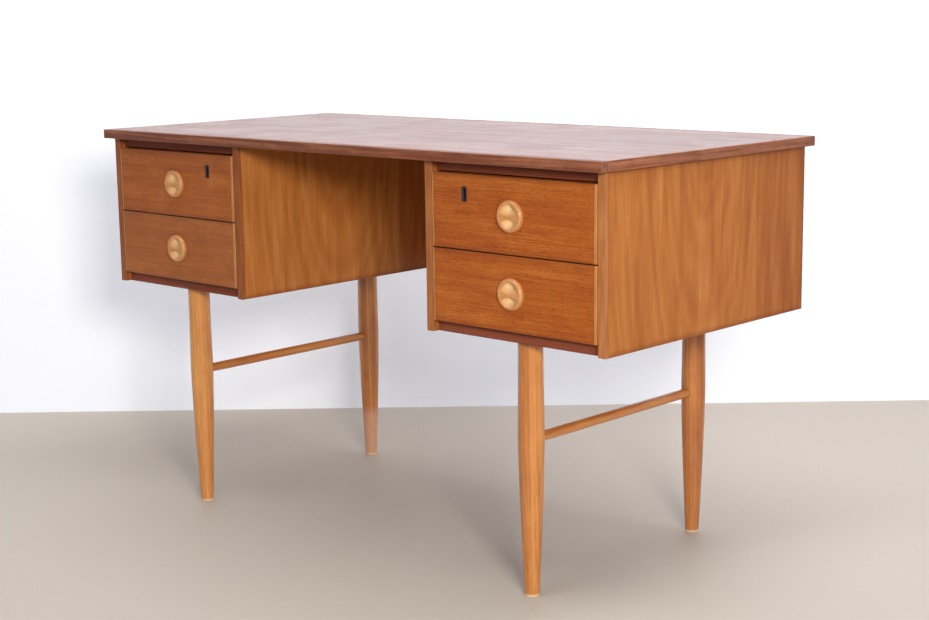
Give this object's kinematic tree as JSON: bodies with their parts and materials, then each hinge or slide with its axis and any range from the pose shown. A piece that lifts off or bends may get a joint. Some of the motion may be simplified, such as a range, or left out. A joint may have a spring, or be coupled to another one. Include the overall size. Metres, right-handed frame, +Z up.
{
  "type": "writing desk with drawers",
  "caption": "Kneehole writing desk: veneered top over hanging drawer pedestals with round wooden pulls and locks, on turned tapered legs joined by stretchers.",
  "frame": {"origin": "on the floor, under the middle of the top", "axes": "+Z up, +X to the sitter's right along the top, -Y towards the sitter, the way the drawers open"},
  "size_m": [1.22, 0.585, 0.72],
  "materials": {
    "teak_top": "teak veneer, satin lacquer",
    "teak_lipping": "solid teak edge, satin lacquer",
    "teak_side": "teak veneer, upright grain, satin lacquer",
    "teak_front": "teak veneer, level grain, satin lacquer",
    "teak_rail": "dark stained teak, satin",
    "beech_leg": "lacquered beech",
    "beech_knob": "lacquered beech",
    "drawer_beech": "plain beech, thinly lacquered",
    "plywood": "bare birch plywood",
    "key_plate": "dark moulded plastic",
    "lock_steel": "passivated pressed steel",
    "lock_brass": "dull brass"
  },
  "bodies": {
    "carcass": {"top_panel": "teak_top", "top_front_lipping": "teak_lipping", "top_back_lipping": "teak_lipping", "top_left_lipping": "teak_lipping", "top_right_lipping": "teak_lipping", "modesty_panel": "teak_side", "left_inner_side": "teak_side", "left_outer_side": "teak_side", "left_back_panel": "teak_side", "left_bottom_board": "teak_rail", "left_top_rail": "teak_rail", "left_lower_inner_runner": "drawer_beech", "left_lower_outer_runner": "drawer_beech", "left_upper_inner_runner": "drawer_beech", "left_upper_outer_runner": "drawer_beech", "left_front_leg": "beech_leg", "left_rear_leg": "beech_leg", "left_stretcher": "beech_leg", "right_inner_side": "teak_side", "right_outer_side": "teak_side", "right_back_panel": "teak_side", "right_bottom_board": "teak_rail", "right_top_rail": "teak_rail", "right_lower_inner_runner": "drawer_beech", "right_lower_outer_runner": "drawer_beech", "right_upper_inner_runner": "drawer_beech", "right_upper_outer_runner": "drawer_beech", "right_front_leg": "beech_leg", "right_rear_leg": "beech_leg", "right_stretcher": "beech_leg"},
    "left_lower_drawer": {"left_lower_drawer_front": "teak_front", "left_lower_drawer_inner_side": "drawer_beech", "left_lower_drawer_outer_side": "drawer_beech", "left_lower_drawer_back": "drawer_beech", "left_lower_drawer_bottom": "plywood", "left_lower_drawer_knob": "beech_knob"},
    "left_upper_drawer": {"left_upper_drawer_front": "teak_front", "left_upper_drawer_inner_side": "drawer_beech", "left_upper_drawer_outer_side": "drawer_beech", "left_upper_drawer_back": "drawer_beech", "left_upper_drawer_bottom": "plywood", "left_upper_drawer_knob": "beech_knob", "left_keyhole_plate": "key_plate", "left_lock_case": "lock_steel"},
    "left_lock_bolt": {"left_lock_bolt": "lock_brass"},
    "right_lower_drawer": {"right_lower_drawer_front": "teak_front", "right_lower_drawer_inner_side": "drawer_beech", "right_lower_drawer_outer_side": "drawer_beech", "right_lower_drawer_back": "drawer_beech", "right_lower_drawer_bottom": "plywood", "right_lower_drawer_knob": "beech_knob"},
    "right_upper_drawer": {"right_upper_drawer_front": "teak_front", "right_upper_drawer_inner_side": "drawer_beech", "right_upper_drawer_outer_side": "drawer_beech", "right_upper_drawer_back": "drawer_beech", "right_upper_drawer_bottom": "plywood", "right_upper_drawer_knob": "beech_knob", "right_keyhole_plate": "key_plate", "right_lock_case": "lock_steel"},
    "right_lock_bolt": {"right_lock_bolt": "lock_brass"}
  },
  "joints": [
    {"name": "left_lower_drawer_slide", "type": "slide", "parent": "carcass", "child": "left_lower_drawer", "axis": [0, -1, 0], "range_m": [0, 0.35]},
    {"name": "left_upper_drawer_slide", "type": "slide", "parent": "carcass", "child": "left_upper_drawer", "axis": [0, -1, 0], "range_m": [0, 0.35]},
    {"name": "left_lock_bolt_lift", "type": "slide", "parent": "left_upper_drawer", "child": "left_lock_bolt", "axis": [0, 0, 1], "range_m": [0, 0.008]},
    {"name": "right_lower_drawer_slide", "type": "slide", "parent": "carcass", "child": "right_lower_drawer", "axis": [0, -1, 0], "range_m": [0, 0.35]},
    {"name": "right_upper_drawer_slide", "type": "slide", "parent": "carcass", "child": "right_upper_drawer", "axis": [0, -1, 0], "range_m": [0, 0.35]},
    {"name": "right_lock_bolt_lift", "type": "slide", "parent": "right_upper_drawer", "child": "right_lock_bolt", "axis": [0, 0, 1], "range_m": [0, 0.008]}
  ]
}
